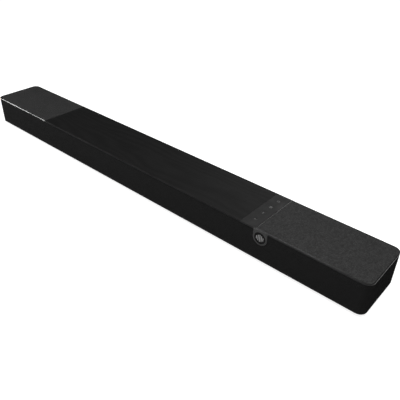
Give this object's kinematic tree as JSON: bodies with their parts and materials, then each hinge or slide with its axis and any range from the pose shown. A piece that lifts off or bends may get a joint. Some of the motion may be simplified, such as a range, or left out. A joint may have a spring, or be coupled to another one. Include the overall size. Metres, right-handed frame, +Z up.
{
  "type": "soundbar",
  "caption": "Long low loudspeaker bar with cloth-topped ends, a wood-grain middle, a strip of round buttons and a small front badge.",
  "frame": {"origin": "bottom centre of the bounding box, on the surface the feet stand on", "axes": "+X along the bar, to the listener's right seen from the front; the front grille faces -Y; +Z up"},
  "size_m": [1.118, 0.126, 0.078],
  "materials": {
    "housing": "fine matt texture",
    "inner_plastic": "moulded, matt",
    "front_cloth": "fine knitted acoustic cloth on a shell",
    "satin_rim": "satin",
    "grille_cloth": "woven acoustic cloth",
    "ebony_panel": "faint embossed wood grain",
    "strip": "soft matt",
    "badge_metal": "brushed",
    "gloss_black": "gloss",
    "bright_metal": "polished",
    "rubber": "matt",
    "brass": "machined",
    "screw_steel": "black zinc",
    "socket_plastic": "moulded",
    "socket_metal": "nickel plate",
    "circuit_board": "solder mask",
    "heat_sink": "extruded",
    "ferrite": "ground ferrite and plated steel",
    "capacitor_sleeve": "shrink sleeve",
    "lead_sheath": "soft sheath",
    "dome_metal": "anodised",
    "basket_steel": "black paint",
    "suspension_rubber": "matt",
    "cone_fibre": "pressed fibre"
  },
  "bodies": {
    "housing": {"lower_shell": "housing", "rear_cover": "housing", "front_baffle": "inner_plastic", "left_driver_tray": "inner_plastic", "right_driver_tray": "inner_plastic", "centre_deck": "inner_plastic", "chamber_bulkheads": "inner_plastic", "front_grille": "front_cloth", "left_grille_frame": "satin_rim", "left_grille_cloth": "grille_cloth", "right_grille_frame": "satin_rim", "right_grille_cloth": "grille_cloth", "centre_top_panel": "ebony_panel", "control_panel": "strip", "badge_plate": "badge_metal", "badge_disc": "gloss_black", "badge_emblem": "bright_metal", "io_bay": "housing", "left_bass_port": "inner_plastic", "right_bass_port": "inner_plastic", "rubber_feet": "rubber", "wall_mount_inserts": "brass", "case_screws": "screw_steel", "driver_screws": "screw_steel", "mains_inlet": "socket_plastic", "hdmi_socket": "socket_metal", "optical_socket": "socket_plastic", "usb_socket": "socket_metal", "subwoofer_jack": "bright_metal", "main_board": "circuit_board", "amplifier_heat_sink": "heat_sink", "power_supply_board": "circuit_board", "power_transformer": "ferrite", "smoothing_capacitors": "capacitor_sleeve", "control_board": "circuit_board", "display_module": "circuit_board", "display_lens": "gloss_black", "speaker_leads": "lead_sheath", "board_leads": "lead_sheath", "tweeter_horn": "socket_plastic", "tweeter_motor": "ferrite", "small_driver_frames": "basket_steel", "small_driver_motors": "ferrite", "small_driver_suspensions": "suspension_rubber", "woofer_frames": "basket_steel", "woofer_motors": "ferrite", "woofer_suspensions": "suspension_rubber"},
    "power_button_body": {"power_button": "strip"},
    "source_button_body": {"source_button": "strip"},
    "volume_up_button_body": {"volume_up_button": "strip"},
    "volume_down_button_body": {"volume_down_button": "strip"},
    "left_front_cone_body": {"left_front_cone": "cone_fibre"},
    "centre_left_cone_body": {"centre_left_cone": "cone_fibre"},
    "centre_right_cone_body": {"centre_right_cone": "cone_fibre"},
    "right_front_cone_body": {"right_front_cone": "cone_fibre"},
    "left_height_cone_body": {"left_height_cone": "cone_fibre"},
    "right_height_cone_body": {"right_height_cone": "cone_fibre"},
    "left_woofer_cone_body": {"left_woofer_cone": "cone_fibre"},
    "right_woofer_cone_body": {"right_woofer_cone": "cone_fibre"},
    "tweeter_dome_body": {"tweeter_dome": "dome_metal"}
  },
  "joints": [
    {"name": "power_button_press", "type": "slide", "parent": "housing", "child": "power_button_body", "axis": [0, 0, -1], "range_m": [0, 0.0008], "stiffness_N_per_m": 1200, "springref_m": -0.0002},
    {"name": "source_button_press", "type": "slide", "parent": "housing", "child": "source_button_body", "axis": [0, 0, -1], "range_m": [0, 0.0008], "stiffness_N_per_m": 1200, "springref_m": -0.0002},
    {"name": "volume_up_button_press", "type": "slide", "parent": "housing", "child": "volume_up_button_body", "axis": [0, 0, -1], "range_m": [0, 0.0008], "stiffness_N_per_m": 1200, "springref_m": -0.0002},
    {"name": "volume_down_button_press", "type": "slide", "parent": "housing", "child": "volume_down_button_body", "axis": [0, 0, -1], "range_m": [0, 0.0008], "stiffness_N_per_m": 1200, "springref_m": -0.0002},
    {"name": "left_front_cone_stroke", "type": "slide", "parent": "housing", "child": "left_front_cone_body", "axis": [0, -1, 0], "range_m": [-0.0025, 0.0025], "stiffness_N_per_m": 1200, "deforming": ["small_driver_suspensions"]},
    {"name": "centre_left_cone_stroke", "type": "slide", "parent": "housing", "child": "centre_left_cone_body", "axis": [0, -1, 0], "range_m": [-0.0025, 0.0025], "stiffness_N_per_m": 1200, "deforming": ["small_driver_suspensions"]},
    {"name": "centre_right_cone_stroke", "type": "slide", "parent": "housing", "child": "centre_right_cone_body", "axis": [0, -1, 0], "range_m": [-0.0025, 0.0025], "stiffness_N_per_m": 1200, "deforming": ["small_driver_suspensions"]},
    {"name": "right_front_cone_stroke", "type": "slide", "parent": "housing", "child": "right_front_cone_body", "axis": [0, -1, 0], "range_m": [-0.0025, 0.0025], "stiffness_N_per_m": 1200, "deforming": ["small_driver_suspensions"]},
    {"name": "left_height_cone_stroke", "type": "slide", "parent": "housing", "child": "left_height_cone_body", "axis": [0, -0.2079, 0.9781], "range_m": [-0.0025, 0.0025], "stiffness_N_per_m": 1200, "deforming": ["small_driver_suspensions"]},
    {"name": "right_height_cone_stroke", "type": "slide", "parent": "housing", "child": "right_height_cone_body", "axis": [0, -0.2079, 0.9781], "range_m": [-0.0025, 0.0025], "stiffness_N_per_m": 1200, "deforming": ["small_driver_suspensions"]},
    {"name": "left_woofer_cone_stroke", "type": "slide", "parent": "housing", "child": "left_woofer_cone_body", "axis": [0, 0, 1], "range_m": [-0.005, 0.005], "stiffness_N_per_m": 1500, "deforming": ["woofer_suspensions"]},
    {"name": "right_woofer_cone_stroke", "type": "slide", "parent": "housing", "child": "right_woofer_cone_body", "axis": [0, 0, 1], "range_m": [-0.005, 0.005], "stiffness_N_per_m": 1500, "deforming": ["woofer_suspensions"]},
    {"name": "tweeter_dome_stroke", "type": "slide", "parent": "housing", "child": "tweeter_dome_body", "axis": [0, -1, 0], "range_m": [-0.0003, 0.0003], "stiffness_N_per_m": 3000}
  ]
}
